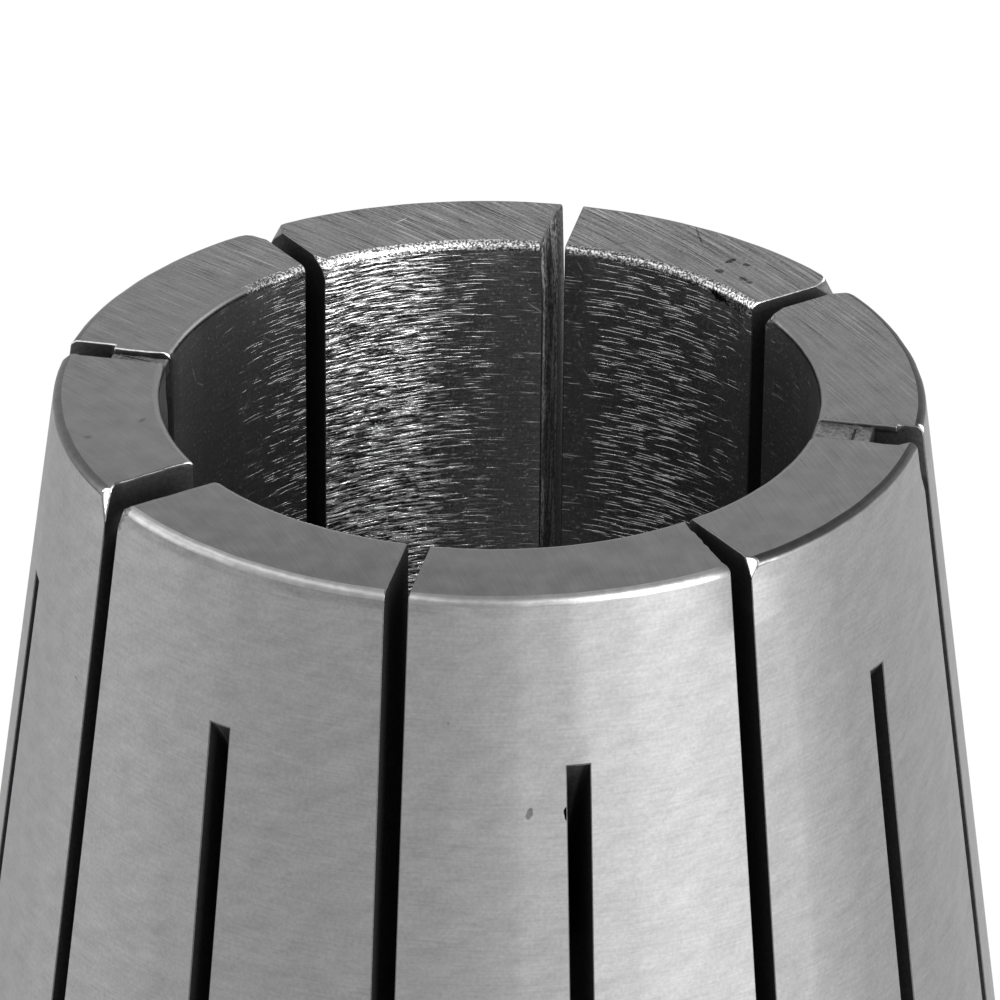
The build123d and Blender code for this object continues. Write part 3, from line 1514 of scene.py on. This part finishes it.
@dataclass(frozen=True)
class PolishedEdgePaintedGlint:
    """Slot edges that wear has polished, with painted glints at their two ends and a painted highlight that
    varies about the axis.
    """

    roughness: float = 0.32
    contrast: float = 1.2
    grain_height: float = 0.01
    plain_from: tuple[float, float] = (150.0, 160.0)
    plain_beyond: tuple[float, float] = (10.0, 11.0)
    # painted highlight: white glints at the edges' two ends
    ends: Knots = ((9.15, 0.7), (9.35, 0.0), (11.45, 0.0), (11.65, 0.7))
    # painted highlight: the edges' lightness by direction about the axis
    line: Knots = ((-60.0, 0.09), (20.0, 0.26), (90.0, 0.26), (160.0, 0.42))

    def material(self) -> bpy.types.Material:
        """Makes the finish."""
        shade = Shade.of_material("polished_edge_painted_glint")
        at = shade.polar()
        degrees = at.degrees
        grains = shade.grain(at.place, 8.0, 2.0, 0.6)
        plain_end = shade.step(degrees, *self.plain_from) * shade.step(at.radius, *self.plain_beyond)
        level = shade.profile(at.radius, self.ends) * (1.0 - plain_end) + shade.profile(degrees, self.line)
        level = level * (1.0 + (grains - 0.5) * self.contrast)
        return shade.steel(level, self.roughness, shade.bump(grains * self.grain_height))


@dataclass(frozen=True)
class RoughSteel:
    """Steel with a fine grain and no direction."""

    name: str
    level: float
    roughness: float
    grain_size: float
    grain_height: float
    contrast: float = 0.5
    marks: tuple[Mark, ...] = ()
    mark_height: float = 0.15

    def material(self) -> bpy.types.Material:
        """Makes the finish."""
        shade = Shade.of_material(self.name)
        at = shade.polar()
        grains = shade.grain(at.place, 1 / self.grain_size, 2.0, 0.6)
        change = with_marks(shade, self.marks, at.across, at.away, (grains - 0.5) * 1.2)
        level = self.level * (1.0 + (grains - 0.5) * self.contrast) + change
        height = grains * self.grain_height + change * self.mark_height
        return shade.steel(level, self.roughness, shade.bump(height))


@dataclass(frozen=True)
class TurnedSteel:
    """Turned outside of the collar and the front face, with fine rings."""

    name: str
    level: float = 0.34
    contrast: float = 0.12
    roughness: float = 0.32
    anisotropy: float = 0.3
    ring_pitch: float = 0.09
    ring_height: float = 0.006

    def material(self) -> bpy.types.Material:
        """Makes the finish."""
        shade = Shade.of_material(self.name)
        at = shade.polar()
        pitch = self.ring_pitch
        rings = shade.streaks(at.azimuth * 1.5, 1.0, at.height, pitch, 3.0, shift=at.radius * (1 / pitch))
        level = self.level + (rings - 0.5) * self.contrast
        return shade.steel(level, self.roughness, shade.bump(rings * self.ring_height), self.anisotropy)


def stand(name: str, data: bpy.types.ID) -> bpy.types.Object:
    """Stands a mesh, lamp or camera in the scene.

    Args:
        name: the object's name.
        data: what it shows.

    Returns:
        The object.
    """
    thing = bpy.data.objects.new(name, data)
    bpy.context.scene.collection.objects.link(thing)
    return thing


@dataclass
class Collet:
    """The collet as a finished piece."""

    mesh: ColletMesh

    def finishes(self) -> dict[Zone, bpy.types.Material]:
        """Makes the finish of every zone."""
        bore = TurnedBore().material()
        return {
            Zone.TAPER: GroundTaper().material(),
            Zone.REAR_FACE: GroundFace().material(),
            Zone.BORE: bore,
            Zone.MOUTH: bore,
            Zone.SLOT: SawnWall().material(),
            Zone.EDGE: RoughSteel("broken_edge", 0.12, 0.35, 0.08, 0.006, 1.0).material(),
            Zone.RIM: RoundedRim().material(),
            Zone.COLLAR: TurnedSteel("turned_collar").material(),
            Zone.FRONT_FACE: TurnedSteel("turned_front").material(),
            Zone.WEB: RoughSteel("torn_web", 0.17, 0.45, 0.11, 0.03, 3.2, WEB_MARKS).material(),
            Zone.BRIGHT: PolishedEdgePaintedGlint().material(),
        }

    def make(self) -> None:
        """Builds and dresses the collet, in metres and in the part's frame."""
        bm = self.mesh.build()
        bmesh.ops.scale(bm, vec=(MM, MM, MM), verts=bm.verts)
        for face in bm.faces:
            face.smooth = True
        mesh = bpy.data.meshes.new("slotted_collet")
        bm.to_mesh(mesh)
        bm.free()
        finishes = self.finishes()
        for zone in Zone:
            mesh.materials.append(finishes[zone])
        piece = stand("slotted_collet", mesh)
        smoothing = piece.modifiers.new("flat_faces", "WEIGHTED_NORMAL")
        smoothing.mode = "FACE_AREA"
        smoothing.weight = 50
        smoothing.keep_sharp = True
        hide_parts("collet")
        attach(piece, "root")
        LOG.info("%s: %d faces", piece.name, len(mesh.polygons))


def direction(turn: float, lift: float) -> Vector:
    """Unit vector at a direction about the axis and a height above the horizon, in radians."""
    return Vector((math.cos(lift) * math.cos(turn), math.cos(lift) * math.sin(turn), math.sin(lift)))


@dataclass(frozen=True)
class Softbox:
    """A large soft lamp that points at the collet.

    Attributes:
        name: the lamp's name.
        azimuth: its direction to the right of the camera's own.
        elevation: its height above the horizon.
        distance: how far it stands from the collet, in metres.
        breadth: its width, in metres.
        rise: its height, in metres.
        radiance: how bright its surface is, where white is 1.
    """

    name: str
    azimuth: float
    elevation: float
    distance: float
    breadth: float
    rise: float
    radiance: float

    def place(self, camera_azimuth: float, aim: Vector) -> None:
        """Makes the lamp.

        Args:
            camera_azimuth: the camera's direction from the collet.
            aim: what the lamp points at, in metres.
        """
        light = bpy.data.lights.new(self.name, "AREA")
        light.shape = "RECTANGLE"
        light.size = self.breadth
        light.size_y = self.rise
        light.energy = self.radiance * math.pi * self.breadth * self.rise
        lamp = stand(self.name, light)
        way = direction(math.radians(camera_azimuth + self.azimuth), math.radians(self.elevation))
        lamp.location = aim + way * self.distance
        lamp.rotation_euler = way.to_track_quat("Z", "Y").to_euler()
        lamp.visible_camera = False


@dataclass(frozen=True)
class Viewpoint:
    """The photograph's camera, in millimetres and degrees."""

    distance: float = 183.98
    azimuth: float = -78.517
    elevation: float = 27.350
    pan: float = 0.0949
    tilt: float = -0.9527
    roll: float = 0.5027
    lens: float = 242.67
    sensor: float = 36.0

    def place(self, aim: Vector) -> None:
        """Makes the camera and gives it to the scene.

        Args:
            aim: the point that the camera's distance and direction are measured from, in metres.
        """
        data = bpy.data.cameras.new("camera")
        data.sensor_width = self.sensor
        data.lens = self.lens
        data.clip_start = 0.01
        camera = stand("camera", data)
        turn, lift = math.radians(self.azimuth), math.radians(self.elevation)
        way = direction(turn, lift)
        camera.matrix_world = (
            Matrix.Translation(aim + way * self.distance * MM)
            @ Matrix.Rotation(turn + math.pi / 2, 4, "Z")
            @ Matrix.Rotation(math.pi / 2 - lift, 4, "X")
            @ Matrix.Rotation(math.radians(-self.pan), 4, "Y")
            @ Matrix.Rotation(math.radians(self.tilt), 4, "X")
            @ Matrix.Rotation(math.radians(self.roll), 4, "Z")
        )
        bpy.context.scene.camera = camera


@dataclass
class Studio:
    """Plain pale floor, soft lamps and the camera."""

    aim: Vector
    viewpoint: Viewpoint = Viewpoint()
    lamps: tuple[Softbox, ...] = (
        Softbox("main_softbox", 44.0, 44.0, 0.6, 0.28, 0.24, 11.0),
        Softbox("low_softbox", 47.0, 10.0, 0.5, 0.42, 0.3, 8.5),
        Softbox("high_softbox", -68.0, 58.0, 0.6, 0.9, 0.22, 2.2),
        Softbox("left_softbox", -96.0, 12.0, 0.6, 0.5, 0.4, 2.3),
        Softbox("right_softbox", 122.0, 14.0, 0.6, 0.25, 0.4, 1.9),
    )
    floor_level: float = 0.82
    floor_lift: float = 0.86
    ambient: float = 0.5

    def build(self) -> None:
        """Makes the camera, the lamps, the world and the floor."""
        self.viewpoint.place(self.aim)
        for lamp in self.lamps:
            lamp.place(self.viewpoint.azimuth, self.aim)
        self.light_world()
        self.lay_floor()
        bpy.context.scene.view_settings.view_transform = "Standard"

    @staticmethod
    def seen_directly(shade: Shade) -> Signal:
        """1 for rays that show the background: from the camera, a reflection or through glass."""
        path = shade.node("ShaderNodeLightPath")
        names = ("Is Camera Ray", "Is Glossy Ray", "Is Transmission Ray")
        camera, glossy, through = (Signal(shade, path.outputs[name]) for name in names)
        return shade.math("MAXIMUM", camera, shade.math("MAXIMUM", glossy, through))

    def light_world(self) -> None:
        """Makes a white world that lights the collet less than it shows."""
        world = bpy.data.worlds.new("studio")
        bpy.context.scene.world = world
        shade = Shade(world)
        seen = self.seen_directly(shade)
        strength = self.ambient + seen * (1.0 - self.ambient)
        background = shade.node("ShaderNodeBackground", sockets={"Color": WHITE, "Strength": strength})
        output = shade.node("ShaderNodeOutputWorld")
        shade.tree.links.new(background.outputs[0], output.inputs["Surface"])

    def lay_floor(self) -> None:
        """Lays the floor, lifted towards white where it is seen, with the collet's shadow kept."""
        bm = bmesh.new()
        bmesh.ops.create_grid(bm, x_segments=1, y_segments=1, size=6.0)
        mesh = bpy.data.meshes.new("floor")
        bm.to_mesh(mesh)
        bm.free()
        shade = Shade.of_material("pale_floor")
        seen = self.seen_directly(shade)
        at = shade.polar()
        speckle = shade.grain(at.place, 0.05, 2.0)
        colour = shade.grey(self.floor_level + (speckle - 0.5) * 0.01)
        matt = shade.node("ShaderNodeBsdfDiffuse", sockets={"Color": colour})
        glow = shade.node("ShaderNodeEmission", sockets={"Color": WHITE, "Strength": 1.0})
        mixed = shade.node("ShaderNodeMixShader", sockets={0: seen * self.floor_lift})
        shade.tree.links.new(matt.outputs[0], mixed.inputs[1])
        shade.tree.links.new(glow.outputs[0], mixed.inputs[2])
        output = shade.node("ShaderNodeOutputMaterial")
        shade.tree.links.new(mixed.outputs[0], output.inputs["Surface"])
        mesh.materials.append(shade.owner)
        floor = stand("floor", mesh)


def slotted_blank() -> ColletMesh:
    """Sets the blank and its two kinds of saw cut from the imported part's box.

    Returns:
        The mesh builder.
    """
    saw_overrun = 1.5
    rear_bridge = 4.66
    groove_stop = 2.44
    low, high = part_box("collet")
    blank = Blank(length=(high.z - low.z) / MM, head_radius=(high.x - low.x) / 2 / MM)
    axis_radius = blank.bore_radius - saw_overrun + SawCut.saw_radius
    front_stop = blank.length - rear_bridge
    rear_stop = blank.collar_width + groove_stop
    cuts = {
        End.FRONT: SawCut(End.FRONT, blank.taper_radius(front_stop), front_stop, axis_radius),
        End.REAR: SawCut(End.REAR, blank.groove_radius, rear_stop, axis_radius),
    }
    return ColletMesh(blank, cuts)


def main() -> None:
    """Builds the studio and the collet and notes the size of what is shown."""
    logging.basicConfig(level=logging.INFO, format="%(name)s: %(message)s")
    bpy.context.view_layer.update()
    mesh = slotted_blank()
    Studio(aim=Vector((0.0, 0.0, mesh.blank.length * MM))).build()
    Collet(mesh).make()


if __name__ == "__main__":
    main()
